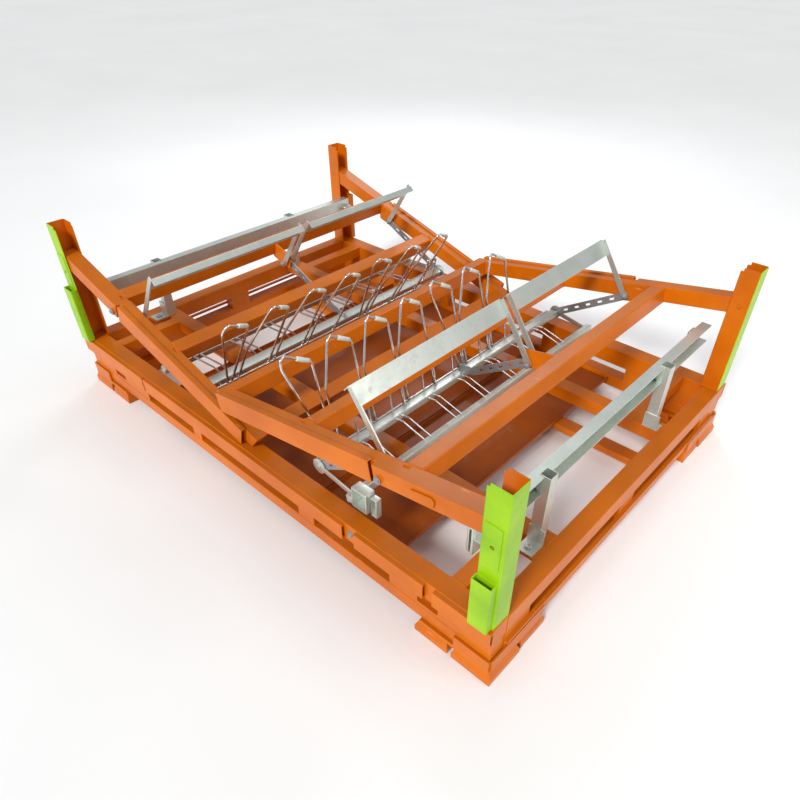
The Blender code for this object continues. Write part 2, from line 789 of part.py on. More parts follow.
def make_comb(gate, hinge):
    """Two rails joined by pairs of wires, short hoops, and the rod that the fingers turn on."""
    front, back, rod = gate["comb_front"], gate["comb_back"], gate["rod"]
    reach = 0.6920
    solids = [
        gate_tube(
            gate,
            (front[0] - 0.020, -reach, front[1] - 0.011),
            (front[0] + 0.020, reach, front[1] + 0.011),
            0.003,
        ),
        gate_tube(
            gate,
            (back[0] - 0.0140, -0.725, back[1] - 0.0140),
            (back[0] + 0.0140, 0.725, back[1] + 0.0140),
            0.003,
        ),
        gate_round(gate, rod, ROD_RADIUS, -0.690, 0.690, 8),
    ]
    for side in (-1, 1):
        low, high = span(side, 0.7010, 0.7050)
        arm = [
            (front[0], front[1] - 0.012),
            (back[0], back[1] - 0.009),
            (back[0], back[1] + 0.009),
            (front[0], front[1] + 0.012),
        ]
        solids.append(gate_round(gate, front, 0.028, low, high, 16))
        solids.append(gate_plate(gate, arm, low + 0.0003, high - 0.0003))
        solids.append(gate_round(gate, front, BOLT_RADIUS, *span(side, 0.685, 0.7095)))
    tab_places = [finger_place(gate, 0) - 0.045]
    tab_places += [finger_place(gate, index) + 0.013 for index in range(FINGERS)]
    middle = (front[1] + rod[1]) / 2
    for y in tab_places:
        solids.append(
            gate_box(
                gate, (front[0] + 0.015, y - 0.002, middle - 0.007), (rod[0], y + 0.002, middle + 0.003)
            )
        )
    for index in range(FINGERS):
        first = finger_place(gate, index) + gate["wire_offset"]
        for y in (first - 0.015, first + 0.015):
            run = ((front[0] - 0.006, y, front[1]), (back[0], y, back[1]))
            solids.append(gate_wire(gate, run, WIRE_RADIUS))
    for index in gate["short_hoops"]:
        y = finger_place(gate, index) + gate["short_hoop_offset"]
        along = front[0] + 0.018
        hoop = (
            (along, y - 0.080, front[1]),
            (along, y - 0.078, front[1] + 0.122),
            (along, y - 0.072, front[1] + 0.129),
            (along, y - 0.022, front[1] + 0.116),
            (along, y - 0.016, front[1] + 0.108),
            (along, y - 0.013, front[1]),
        )
        solids.append(gate_wire(gate, hoop, WIRE_RADIUS))
    make_piece(f"{gate['name']}_comb_frame", "zinc", solids, (), hinge)


def finger_path(height, bent):
    """One finger's wire as (across, up) from the foot of its straight leg."""
    if bent:
        left = ((-0.020, 0.0), (-0.110, height + 0.015), (-0.106, height + 0.044))
    else:
        left = ((-0.146, 0.0), (-0.146, 0.205), (-0.092, height + 0.036))
    crown = ((left[-1][0] + 0.014, height + (0.054 if bent else 0.046)), (-0.008, height + 0.004))
    return (*left, *crown, (0.0, height - 0.008), (0.0, 0.0))


def make_finger(gate, index):
    rod = gate["rod"]
    pivot = bpy.data.objects.new(f"{gate['name']}_finger_{index + 1}_hinge", None)
    bpy.context.scene.collection.objects.link(pivot)
    pivot.parent = gate["hinge"]
    pivot.location = (gate["toward"] * rod[0], finger_place(gate, index), rod[1])
    pivot.rotation_euler = (0, gate["toward"] * gate["lean"], 0)
    path = [Vector((0, y, z)) for y, z in finger_path(gate["finger_height"], index in (0, 4))]
    feet = (path[0].y, path[-1].y)
    for end in (0, -1):
        path[end].z = 0.009
    sleeve_end, sleeve_run = path[-3], path[-4] - path[-3]
    sleeve = (sleeve_end, sleeve_end + sleeve_run.normalized() * 0.048)
    solids = [wire(path, FINGER_RADIUS), wire(sleeve, 0.0080, 8)]
    cuts = []
    for y in feet:
        solids.append(round_y((0, 0), 0.0120, y - 0.004, y + 0.004, 12))
        cuts.append(round_y((0, 0), 0.0066, y - 0.01, y + 0.01, 12))
    make_piece(f"{gate['name']}_finger_{index + 1}", "wire", solids, cuts, pivot)


def make_gate(gate):
    hinge = bpy.data.objects.new(f"{gate['name']}_gate_hinge", None)
    bpy.context.scene.collection.objects.link(hinge)
    hinge.location = (-gate["toward"] * PIVOT_X, 0, PIVOT_Z)
    hinge.rotation_euler = (0, gate["toward"] * gate["dip"], 0)
    gate["hinge"] = hinge
    for side in (-1, 1):
        make_arm(gate, hinge, side)
        make_side_rail(gate, hinge, side)
    make_beams(gate, hinge)
    make_struts(gate, hinge)
    make_swing_bars(gate)
    make_comb(gate, hinge)
    for index in range(FINGERS):
        make_finger(gate, index)


clear_scene()
make_long_rails()
make_end_rails()
make_feet()
make_posts()
make_deck()
make_end_supports()
make_gate(LEFT)
make_gate(RIGHT)
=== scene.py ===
import json
import math
import bpy
from mathutils import Matrix, Vector


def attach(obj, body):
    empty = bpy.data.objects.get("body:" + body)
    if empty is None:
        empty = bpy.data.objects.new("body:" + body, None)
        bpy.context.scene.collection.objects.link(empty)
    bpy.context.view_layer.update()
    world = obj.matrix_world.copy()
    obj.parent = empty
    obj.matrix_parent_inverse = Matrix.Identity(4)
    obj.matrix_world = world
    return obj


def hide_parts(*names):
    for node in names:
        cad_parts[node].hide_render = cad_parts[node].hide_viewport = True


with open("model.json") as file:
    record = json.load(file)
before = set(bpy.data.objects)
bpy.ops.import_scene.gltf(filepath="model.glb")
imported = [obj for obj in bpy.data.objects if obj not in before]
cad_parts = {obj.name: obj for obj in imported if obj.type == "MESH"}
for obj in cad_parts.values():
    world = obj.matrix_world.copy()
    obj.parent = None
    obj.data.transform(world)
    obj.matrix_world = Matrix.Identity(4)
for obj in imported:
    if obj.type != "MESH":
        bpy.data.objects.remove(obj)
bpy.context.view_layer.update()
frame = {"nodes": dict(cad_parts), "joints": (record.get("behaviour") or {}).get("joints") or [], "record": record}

def nothingSelected():
    if bpy.context.mode != "OBJECT":
        bpy.ops.object.mode_set(mode="OBJECT")
    bpy.ops.object.select_all(action="DESELECT")


def pick(piece):
    nothingSelected()
    piece.select_set(True)
    bpy.context.view_layer.objects.active = piece


def applyPlace(piece):
    pick(piece)
    bpy.ops.object.transform_apply(location=True, rotation=True, scale=True)


def smoothByAngle(piece, degrees=35):
    pick(piece)
    bpy.ops.object.shade_smooth_by_angle(angle=math.radians(degrees))


def joinAll(parts, name):
    nothingSelected()
    for part in parts:
        part.select_set(True)
    bpy.context.view_layer.objects.active = parts[0]
    if len(parts) > 1:
        bpy.ops.object.join()
    parts[0].name = parts[0].data.name = name
    return parts[0]


def rounded(piece, width, segments=2, degrees=40):
    edge = piece.modifiers.new("edge", "BEVEL")
    edge.width, edge.segments = width, segments
    edge.limit_method, edge.angle_limit = "ANGLE", math.radians(degrees)
    edge.use_clamp_overlap = True
    pick(piece)
    bpy.ops.object.modifier_apply(modifier="edge")
    return piece


def standAt(middle, direction):
    # a place whose own Z axis points along the direction
    turn = Vector(direction).to_track_quat("Z", "Y").to_matrix().to_4x4()
    return Matrix.Translation(middle) @ turn


def copyAt(source, name, turn):
    twin = source.copy()
    twin.data = source.data.copy()
    twin.name = twin.data.name = name
    bpy.context.scene.collection.objects.link(twin)
    twin.matrix_world = turn
    applyPlace(twin)
    return twin


def finish(piece, body, material, slotName, *cadNodes):
    piece.data.materials.clear()
    piece.data.materials.append(material)
    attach(piece, body)
    if cadNodes:
        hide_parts(*cadNodes)
    return piece


# wraps a socket, so that sums and products of values add their own nodes
class Val:
    def __init__(self, sheet, socket):
        self.sheet, self.socket = sheet, socket

    def math(self, how, other=None, flipped=False):
        pair = [self, other] if not flipped else [other, self]
        given = {i: v for i, v in enumerate(pair) if v is not None}
        return self.sheet.node("ShaderNodeMath", {"operation": how}, given)

    def __add__(self, other):
        return self.math("ADD", other)

    def __mul__(self, other):
        return self.math("MULTIPLY", other)

    def __sub__(self, other):
        return self.math("SUBTRACT", other)

    def __rsub__(self, other):
        return self.math("SUBTRACT", other, True)

    __radd__ = __add__
    __rmul__ = __mul__

    def clamped(self, low, high):
        return self.sheet.node(
            "ShaderNodeMapRange", {"clamp": True},
            {"Value": self, "From Min": low, "From Max": high},
        )


# one material and its nodes
class Finish:
    def __init__(self, name):
        self.material = bpy.data.materials.new(name)
        self.material.use_nodes = True
        self.tree = self.material.node_tree
        self.shader = self.tree.nodes["Principled BSDF"]
        self.place = Val(self, self.tree.nodes.new("ShaderNodeTexCoord").outputs["Object"])
        self.facing = Val(self, self.place.socket.node.outputs["Normal"])

    def node(self, kind, settings=None, inputs=None, output=0):
        made = self.tree.nodes.new(kind)
        for key, value in (settings or {}).items():
            if key == "stops":
                ramp = made.color_ramp
                while len(ramp.elements) < len(value):
                    ramp.elements.new(0.5)
                for element, (at, colour) in zip(ramp.elements, value):
                    element.position, element.color = at, (*colour, 1)
            else:
                setattr(made, key, value)
        for key, value in (inputs or {}).items():
            self.give(made.inputs[key], value)
        return Val(self, made.outputs[output])

    def give(self, socket, value):
        if isinstance(value, Val):
            self.tree.links.new(value.socket, socket)
        else:
            socket.default_value = value

    def noise(self, scale, detail=3, rough=0.55):
        return self.node(
            "ShaderNodeTexNoise", {},
            {"Vector": self.place, "Scale": scale, "Detail": detail, "Roughness": rough},
        )

    def up(self):
        return self.node("ShaderNodeSeparateXYZ", {}, {0: self.facing}, 2)

    def mix(self, factor, first, second):
        # sockets 6 and 7 are the two colours, output 2 the mixed one
        return self.node(
            "ShaderNodeMix", {"data_type": "RGBA"}, {0: factor, 6: first, 7: second}, 2
        )

    def set(self, **values):
        for key, value in values.items():
            self.give(self.shader.inputs[key.replace("_", " ")], value)

    def bump(self, height, strength, distance):
        self.set(
            Normal=self.node(
                "ShaderNodeBump", {}, {"Strength": strength, "Distance": distance, "Height": height}
            )
        )
        return self.material


# paint, zinc, plated wire and sleeve plastic
coat = {
    "bright": (0.680, 0.160, 0.0006, 1),
    "deep": (0.440, 0.084, 0.0005, 1),
    # the worn colour serves both the small worn specks and the painted shade on up-facing faces
    "wornAndTopShade": (0.270, 0.074, 0.0020, 1),
    "scuff": (0.78, 0.36, 0.12, 1),
    "peel": 420.0,
}

limePaint = {
    "bright": (0.335, 0.600, 0.004, 1),
    "deep": (0.220, 0.450, 0.004, 1),
    "scuff": (0.75, 0.90, 0.40, 1),
}


def limeCoat(f, marks):
    colour = f.mix(f.noise(5.0, 4).clamped(0.38, 0.66), limePaint["bright"], limePaint["deep"])
    return f.mix(marks * 0.6, colour, limePaint["scuff"])


def outerFaces(f, limeWhere):
    # 1 beyond any of the planes (axis, side, distance), where the second colour was sprayed
    mask = None
    for axis, side, distance in limeWhere:
        along = f.node("ShaderNodeSeparateXYZ", {}, {0: f.place}, axis) * side
        edge = f.noise(60.0, 2) * 0.002
        past = (along + edge).clamped(distance, distance + 0.001)
        mask = past if mask is None else mask.math("MAXIMUM", past)
    return mask


def paintedSteel(name, bright, deep, wornAndTopShade, scuff, roughness=0.30, topShade=0.55, limeWhere=()):
    f = Finish(name)
    drift = f.noise(3.2, 4).clamped(0.38, 0.66)
    colour = f.mix(drift * 0.6, bright, deep)
    # painted shade: up-facing faces are mixed toward the worn colour, so the tops read darker, as if less lit
    shadedTops = f.up().clamped(0.55, 0.98) * topShade
    colour = f.mix(shadedTops * (0.55 + f.noise(7.0, 5) * 0.6), colour, wornAndTopShade)
    streaks = f.node(
        "ShaderNodeTexNoise",
        {},
        {
            "Vector": f.node("ShaderNodeMapping", {}, {"Vector": f.place, "Scale": (9, 90, 60)}),
            "Scale": 1.0,
            "Detail": 4.0,
        },
    )
    marks = streaks.clamped(0.66, 0.74) * f.noise(11.0, 2).clamped(0.52, 0.62)
    colour = f.mix(marks * 0.55, colour, scuff)
    specks = f.noise(160.0, 2).clamped(0.70, 0.76)
    colour = f.mix(specks * 0.5, colour, wornAndTopShade)
    if limeWhere:
        colour = f.mix(outerFaces(f, limeWhere), colour, limeCoat(f, marks))
    dull = roughness + marks * 0.25 + f.noise(18.0, 4) * 0.16 + shadedTops * 0.12
    f.set(Base_Color=colour, Roughness=dull)
    f.set(Coat_Weight=0.10, Coat_Roughness=0.12, Specular_IOR_Level=0.22)
    relief = f.noise(coat["peel"], 2) * 0.5 + marks * -0.4 + f.noise(40.0, 3) * 0.25
    return f.bump(relief, 0.16, 0.0012)


def galvanised(name, light, dark, roughness=0.38):
    f = Finish(name)
    flakes = f.node("ShaderNodeTexVoronoi", {}, {"Vector": f.place, "Scale": 95.0}, "Color")
    grain = f.node("ShaderNodeSeparateColor", {}, {0: flakes}, 0)
    cloud = f.noise(9.0, 5).clamped(0.35, 0.70)
    colour = f.mix(grain * 0.16 + cloud * 0.40, light, dark)
    grime = f.noise(26.0, 6).clamped(0.60, 0.78)
    colour = f.mix(grime * 0.35, colour, (0.24, 0.24, 0.20, 1))
    dull = roughness + grain * 0.08 + grime * 0.28
    f.set(Base_Color=colour, Metallic=0.80 - grime * 0.3, Roughness=dull)
    return f.bump(grain * 0.4 + f.noise(320.0, 2) * 0.5, 0.10, 0.0008)


def brightWire(name):
    f = Finish(name)
    cloud = f.noise(30.0, 4).clamped(0.40, 0.72)
    colour = f.mix(cloud, (0.80, 0.81, 0.80, 1), (0.52, 0.53, 0.50, 1))
    f.set(Base_Color=colour, Metallic=1.0, Roughness=0.14 + cloud * 0.16)
    return f.bump(f.noise(500.0, 2), 0.05, 0.0004)


def sleevePlastic(name, light, dark):
    f = Finish(name)
    cloud = f.noise(42.0, 4).clamped(0.35, 0.70)
    f.set(Base_Color=f.mix(cloud, light, dark), Roughness=0.42 + cloud * 0.2)
    return f.bump(f.noise(260.0, 3), 0.12, 0.0006)


orange = paintedSteel("orangeCoat", coat["bright"], coat["deep"], coat["wornAndTopShade"], coat["scuff"])
# the last number is the strength of the painted shade on up-facing faces
panPaint = paintedSteel(
    "panPaint", (0.440, 0.092, 0.002, 1), (0.300, 0.056, 0.002, 1), (0.190, 0.040, 0.004, 1),
    (0.50, 0.22, 0.10, 1), 0.42, 0.7,
)
postCoat = {
    node: paintedSteel(
        node + "Coat", coat["bright"], coat["deep"], coat["wornAndTopShade"], coat["scuff"], limeWhere=where
    )
    for node, where in {
        "front_right_post": ((1, -1, 0.7720), (0, 1, 1.1205)),
        "front_left_post": ((1, -1, 0.7720),),
        "back_right_post": ((0, 1, 1.1205),),
    }.items()
}
zinc = galvanised("paleZinc", (0.70, 0.75, 0.69, 1), (0.45, 0.50, 0.46, 1), 0.36)
dullZinc = galvanised("dullZinc", (0.46, 0.50, 0.52, 1), (0.28, 0.31, 0.33, 1), 0.44)
chrome = brightWire("wireChrome")
sleeveSkin = sleevePlastic("sleeveSkin", (0.66, 0.70, 0.62, 1), (0.50, 0.53, 0.45, 1))
tanSleeve = sleevePlastic("tanSleeve", (0.50, 0.42, 0.30, 1), (0.34, 0.28, 0.20, 1))
print("finishes made")

# the two gates' own directions: along the arms from the pivot, across the rack, above the arms
jointAt = {joint["name"]: Vector(joint["pos_m"]) for joint in frame["joints"]}
gates = {
    "left": {
        "toward": 1, "dip": 16.2, "lean": 15.0, "height": 0.375,
        "front": (0.812, -0.086), "back": (0.596, -0.160), "rod": (0.850, -0.086),
        "hoops": (6,), "hoopShift": 0.160, "wireShift": 0.005, "armBolt": 0.354,
        "beams": ((0.300, 0.360), (0.650, 0.710), (1.152, 1.180)),
    },
    "right": {
        "toward": -1, "dip": 10.47, "lean": 3.5, "height": 0.320,
        "front": (0.770, -0.150), "back": (0.616, -0.206), "rod": (0.808, -0.150),
        "hoops": (1, 2, 3, 4, 5, 6), "hoopShift": 0.0, "wireShift": 0.085, "armBolt": 0.394,
        "beams": ((0.280, 0.340), (0.725, 0.780), (1.160, 1.196)),
    },
}
for side, gate in gates.items():
    gate["pivot"] = jointAt[side + "_gate_fold"]
    gate["legs"] = [jointAt[f"{side}_finger_{i}_turn"].y for i in range(1, 8)]
    turn = Matrix.Rotation(gate["toward"] * math.radians(gate["dip"]), 4, "Y")
    gate["turn"] = Matrix.Translation(gate["pivot"]) @ turn


def onGate(gate, along, across, above):
    return gate["turn"] @ Vector((gate["toward"] * along, across, above))


# steelwork: the fixed shapes with worked edges, in metres
edges = {"tube": 0.0026, "sheet": 0.0011, "fine": 0.0007}


def skinArea(piece):
    piece.data.calc_loop_triangles()
    return sum(triangle.area for triangle in piece.data.loop_triangles)


def edgedCopy(source, name, width, flatFaces):
    piece = source.copy()
    piece.data = source.data.copy()
    piece.parent = None
    for key in list(piece.keys()):
        del piece[key]
    piece.name = piece.data.name = name
    bpy.context.scene.collection.objects.link(piece)
    pick(piece)
    bpy.ops.object.mode_set(mode="EDIT")
    bpy.ops.mesh.select_all(action="SELECT")
    bpy.ops.mesh.remove_doubles(threshold=0.00002)
    if flatFaces:
        bpy.ops.mesh.dissolve_limited(angle_limit=math.radians(1))
    bpy.ops.object.mode_set(mode="OBJECT")
    return rounded(piece, width, 2) if width else piece


def worked(node, body, material, slotName, width):
    source = frame["nodes"][node]
    # where an edge is too wide for its neighbours the skin folds over itself and gains area
    for flatFaces, share in ((True, 1.0), (True, 0.5), (False, 0.5), (False, 0.2), (False, 0.0)):
        piece = edgedCopy(source, "worked_" + node, width * share, flatFaces)
        faceArea = sum(face.area for face in piece.data.polygons)
        if skinArea(piece) < 1.002 * min(faceArea, skinArea(source)):
            break
        bpy.data.objects.remove(piece)
    if share < 1:
        print(node, "has narrower edges:", share)
    smoothByAngle(piece, 40)
    flats = piece.modifiers.new("flats", "WEIGHTED_NORMAL")
    flats.weight, flats.keep_sharp = 90, True
    pick(piece)
    bpy.ops.object.modifier_apply(modifier="flats")
    return finish(piece, body, material, slotName, node)


slotLook = {
    "orange": (orange, edges["tube"]),
    "brown_orange": (panPaint, edges["sheet"]),
    "lime": (orange, edges["sheet"]),
    "zinc": (zinc, edges["fine"]),
}
bodies = frame["record"]["behaviour"]["bodies"]
bodyOf = {node: body for body, nodes in bodies.items() for node in nodes}
thinOnes = ("post", "foot", "rail")
for entry in frame["record"]["subparts"]:
    node, slotName = entry["node"], entry["material_slot"]
    if "finger" in node or "comb_frame" in node:
        continue
    material, width = slotLook[slotName]
    if slotName == "orange" and any(word in node for word in thinOnes):
        width = edges["sheet"]
    if "strut" in node:
        material = dullZinc
    material = postCoat.get(node, material)
    worked(node, bodyOf[node], material, slotName, width)
print("steelwork edged")

# round wire and plain bars
wireLook = {"radius": 0.0045, "bend": 0.014, "thin": 0.0038, "sides": 3}


def bentWire(name, points, radius, bend):
    bpy.ops.curve.primitive_nurbs_path_add(enter_editmode=False)
    line = bpy.context.object
    line.name = name
    points = [Vector(point) for point in points]
    route = [points[0]]
    for before, corner, after in zip(points, points[1:], points[2:]):
        reach = min(bend, (corner - before).length * 0.45, (after - corner).length * 0.45)
        route += [corner + (before - corner).normalized() * reach, corner,
                  corner + (after - corner).normalized() * reach]
    route.append(points[-1])
    spline = line.data.splines[0]
    if len(route) < len(spline.points):
        line.data.splines.remove(spline)
        spline = line.data.splines.new("NURBS")
    spline.points.add(len(route) - len(spline.points))
    for knot, point in zip(spline.points, route):
        knot.co = (*point, 1)
    spline.use_endpoint_u, spline.order_u = True, 3
    line.data.dimensions = "3D"
    line.data.resolution_u = 3
    line.data.bevel_depth, line.data.bevel_resolution = radius, wireLook["sides"]
    line.data.use_fill_caps = True
    line.matrix_world = Matrix.Identity(4)
    pick(line)
    bpy.ops.object.convert(target="MESH")
    made = bpy.context.object
    pick(made)
    bpy.ops.object.mode_set(mode="EDIT")
    bpy.ops.mesh.select_all(action="SELECT")
    bpy.ops.mesh.remove_doubles(threshold=0.00001)
    bpy.ops.mesh.normals_make_consistent(inside=False)
    bpy.ops.object.mode_set(mode="OBJECT")
    smoothByAngle(made, 60)
    return made


def roundBar(name, start, end, radius, sides=20, edge=0.0012):
    start, end = Vector(start), Vector(end)
    bpy.ops.mesh.primitive_cylinder_add(vertices=sides, radius=radius, depth=(end - start).length)
    bar = bpy.context.object
    bar.name = name
    bar.matrix_world = standAt((start + end) / 2, end - start)
    applyPlace(bar)
    if edge:
        rounded(bar, edge, 2)
    smoothByAngle(bar, 40)
    return bar


def boxBar(name, low, high, edge=0.002, segments=3):
    low, high = Vector(low), Vector(high)
    bpy.ops.mesh.primitive_cube_add(size=1, location=(low + high) / 2)
    bar = bpy.context.object
    bar.name = name
    bar.scale = high - low
    applyPlace(bar)
    rounded(bar, edge, segments)
    smoothByAngle(bar, 40)
    return bar


def hollowEnds(bar, axis, wall, depth):
    # presses a socket into both end faces of a bar
    pick(bar)
    ends = [max(v.co[axis] for v in bar.data.vertices), min(v.co[axis] for v in bar.data.vertices)]
    for end, way in zip(ends, (-1, 1)):
        bpy.ops.object.mode_set(mode="EDIT")
        bpy.ops.mesh.select_all(action="DESELECT")
        bpy.ops.object.mode_set(mode="OBJECT")
        for face in bar.data.polygons:
            face.select = abs(face.center[axis] - end) < 1e-5 and abs(face.normal[axis]) > 0.99
        bpy.ops.object.mode_set(mode="EDIT")
        bpy.ops.mesh.select_mode(type="FACE")
        bpy.ops.mesh.inset(thickness=wall)
        push = [0, 0, 0]
        push[axis] = way * depth
        bpy.ops.mesh.extrude_region_move(TRANSFORM_OT_translate={"value": push})
        bpy.ops.object.mode_set(mode="OBJECT")
    return bar


# fingers: a bent wire with a coiled eyelet at each foot and a sleeve on its crown
fingerLook = {
    "eyelet": 0.0093, "eyeletWire": 0.0027, "coilHalf": 0.0021,
    "sleeve": 0.0080, "sleeveLength": 0.048,
}


def fingerRoute(height, bent):
    if bent:
        left = [(-0.020, 0.0095), (-0.110, height + 0.015), (-0.106, height + 0.044)]
    else:
        left = [(-0.146, 0.0095), (-0.146, 0.205), (-0.092, height + 0.036)]
    crown = [(left[-1][0] + 0.014, height + (0.054 if bent else 0.046)), (-0.008, height + 0.004)]
    return [Vector((0, y, z)) for y, z in left + crown + [(0.0, height - 0.008), (0.0, 0.0095)]]


def fingerParts(height, bent):
    route = fingerRoute(height, bent)
    parts = [bentWire("fingerWire", route, wireLook["radius"], wireLook["bend"])]
    for foot in (route[0], route[-1]):
        for shift in (-fingerLook["coilHalf"], fingerLook["coilHalf"]):
            bpy.ops.mesh.primitive_torus_add(
                location=(0, foot.y + shift, 0), rotation=(math.pi / 2, 0, 0),
                major_segments=24, minor_segments=8,
                major_radius=fingerLook["eyelet"], minor_radius=fingerLook["eyeletWire"],
            )
            ring = bpy.context.object
            applyPlace(ring)
            smoothByAngle(ring, 60)
            parts.append(ring)
    wireOnly = joinAll(parts, "fingerShape")
    run = (route[-4] - route[-3]).normalized()
    end = route[-3]
    sleeve = roundBar("sleeveShape", end - run * 0.002, end + run * fingerLook["sleeveLength"],
                      fingerLook["sleeve"], 20, 0.0024)
    return wireOnly, sleeve


for side, gate in gates.items():
    shapes = {bent: fingerParts(gate["height"], bent) for bent in (True, False)}
    tilt = Matrix.Rotation(gate["toward"] * math.radians(gate["dip"] + gate["lean"]), 4, "Y")
    for index in range(7):
        body = f"{side}_finger_{index + 1}"
        turn = Matrix.Translation(jointAt[body + "_turn"]) @ tilt
        wireShape, sleeveShape = shapes[index in (0, 4)]
        finish(copyAt(wireShape, body + "_wire", turn), body, chrome, "wire", body)
        finish(copyAt(sleeveShape, body + "_sleeve", turn), body, sleeveSkin, "wire")
    for pair in shapes.values():
        for shape in pair:
            bpy.data.objects.remove(shape)
print("fingers bent")

# combs: two rails, wire pairs between them, short hoops, tabs and the fingers' rod
combLook = {
    "frontHalf": (0.020, 0.692, 0.011), "backHalf": (0.014, 0.725, 0.014),
    "plateRadius": 0.028, "plateFrom": 0.701, "plateTo": 0.705, "pairGap": 0.015,
    "rodRadius": 0.0055, "rodHalf": 0.690, "hollow": 0.05, "boltEnd": 0.7083,
}


def combRails(gate):
    toward, front, back = gate["toward"], gate["front"], gate["back"]
    parts = []
    for middle, half, wall in ((front, "frontHalf", 0.0015), (back, "backHalf", 0.0020)):
        size = Vector(combLook[half])
        place = Vector((toward * middle[0], 0, middle[1]))
        rail = boxBar("combRail", place - size, place + size, 0.0025)
        parts.append(hollowEnds(rail, 1, wall, combLook["hollow"]))

    def cross(name, y1, y2, radius, sides, edge):
        start, end = (toward * front[0], y1, front[1]), (toward * front[0], y2, front[1])
        parts.append(roundBar(name, start, end, radius, sides, edge))

    slope = math.atan2(front[1] - back[1], front[0] - back[0])
    length = math.hypot(front[0] - back[0], front[1] - back[1])
    middle = Vector((toward * (front[0] + back[0]) / 2, 0, (front[1] + back[1]) / 2))
    for end in (-1, 1):
        ys = sorted((end * combLook["plateFrom"], end * combLook["plateTo"]))
        cross("combPlate", ys[0], ys[1], combLook["plateRadius"], 32, 0.0008)
        low, high = (-length / 2, ys[0] + 0.0003, -0.010), (length / 2, ys[1] - 0.0003, 0.010)
        strap = boxBar("combStrap", low, high, 0.0008)
        strap.matrix_world = Matrix.Translation(middle) @ Matrix.Rotation(-toward * slope, 4, "Y")
        applyPlace(strap)
        parts.append(strap)
        cross("combBolt", end * combLook["plateTo"], end * combLook["boltEnd"], 0.0095, 6, 0.0008)
        cross("combShank", end * 0.686, end * 0.7055, 0.006, 16, 0.0005)
    return parts


def combWires(gate):
    toward, front, back, rod = gate["toward"], gate["front"], gate["back"], gate["rod"]

    def gateWire(points):
        line = [(toward * along, y, above) for along, y, above in points]
        return bentWire("combWire", line, wireLook["thin"], 0.010)

    ends = [(toward * rod[0], side * combLook["rodHalf"], rod[1]) for side in (-1, 1)]
    wires = [roundBar("rod", *ends, combLook["rodRadius"], 20, 0.0008)]
    for leg in gate["legs"]:
        for shift in (-combLook["pairGap"], combLook["pairGap"]):
            y = leg + gate["wireShift"] + shift
            wires.append(gateWire((
                (front[0] - 0.006, y, front[1] + 0.004),
                (front[0] - 0.055, y, front[1] + 0.001),
                (back[0], y, back[1] + 0.011),
            )))
    middle = (front[1] + rod[1]) / 2
    xs = sorted((toward * (front[0] + 0.015), toward * rod[0]))
    for y in [gate["legs"][0] - 0.045] + [leg + 0.013 for leg in gate["legs"]]:
        low, high = (xs[0], y - 0.002, middle - 0.007), (xs[1], y + 0.002, middle + 0.003)
        wires.append(boxBar("combTab", low, high, 0.0006))
    sleeves = []
    along, feet = front[0] + 0.018, front[1] + 0.004
    for index in gate["hoops"]:
        y = gate["legs"][index] + gate["hoopShift"]
        wires.append(gateWire((
            (along, y - 0.080, feet), (along, y - 0.077, front[1] + 0.127),
            (along, y - 0.016, front[1] + 0.113), (along, y - 0.013, feet),
        )))
        start = (toward * along, y - 0.069, front[1] + 0.1252)
        end = (toward * along, y - 0.024, front[1] + 0.1150)
        sleeves.append(roundBar("hoopSleeve", start, end, 0.0060, 16, 0.0015))
    return wires, sleeves


for side, gate in gates.items():
    body = side + "_gate"
    wires, sleeves = combWires(gate)
    for parts, name, material, nodes in (
        (combRails(gate), side + "CombRails", zinc, (side + "_comb_frame",)),
        (wires, side + "CombWires", chrome, ()),
        (sleeves, side + "HoopSleeves", tanSleeve, ()),
    ):
        piece = joinAll(parts, name)
        piece.matrix_world = gate["turn"]
        applyPlace(piece)
        finish(piece, body, material, "zinc", *nodes)
print("combs wired")

# bolts: a hex head on a washer, modelled once and copied
boltLook = {"head": 0.0110, "thick": 0.0065, "washer": 0.0150}
hingeBolt = (0.440, -0.024)  # where a swing bar turns, along the arm and above it


def hexBolt():
    washer = roundBar("washer", (0, 0, 0), (0, 0, 0.0018), boltLook["washer"], 24, 0.0004)
    head = roundBar("head", (0, 0, 0.0016), (0, 0, boltLook["thick"]), boltLook["head"], 6, 0.0009)
    stud = roundBar("stud", (0, 0, 0.005), (0, 0, boltLook["thick"] + 0.0025), 0.0052, 16, 0.0006)
    return joinAll([washer, head, stud], "boltShape")


bolt = hexBolt()


def boltAt(name, place, way, body, scale=1.0, material=dullZinc, slotName="zinc"):
    turn = standAt(place, way) @ Matrix.Scale(scale, 4)
    return finish(copyAt(bolt, name, turn), body, material, slotName)


for side, gate in gates.items():
    body = side + "_gate"
    for end, word in ((-1, "Front"), (1, "Back")):
        place = onGate(gate, hingeBolt[0], end * 0.6860, hingeBolt[1])
        boltAt(side + word + "LugBolt", place, (0, -end, 0), body, 0.75)
        place = onGate(gate, gate["armBolt"], end * 0.7746, -0.010)
        boltAt(side + word + "ArmBolt", place, (0, end, 0), body, 0.85)
    for y, way, letter in ((-0.0045, -1, "A"), (0.0645, 1, "B")):
        place = onGate(gate, hingeBolt[0], y, hingeBolt[1])
        boltAt(side + "MiddleBolt" + letter, place, (0, way, 0), body, 0.8)
for way, word in ((-1, "left"), (1, "right")):
    boltAt(word + "SupportBolt", (way * 1.028, -0.474, 0.2455), (0, 0, 1), "base", 1.0)
for way, word in ((-1, "front"), (1, "back")):
    boltAt(word + "RailBolt", (0.574, way * 0.7752, 0.206), (0, way, 0), "base", 0.95)
bpy.data.objects.remove(bolt)
print("bolts set")

# small fittings: a hook on the near arm, a bracket by the comb's end, end plates on the supports
hookRoute = ((0.822, 0.559), (0.888, 0.5735), (0.899, 0.567), (0.8975, 0.548))
hook = bentWire("armHook", [(x, -0.7707, z) for x, z in hookRoute], 0.0030, 0.008)
finish(hook, "right_gate", orange, "orange")


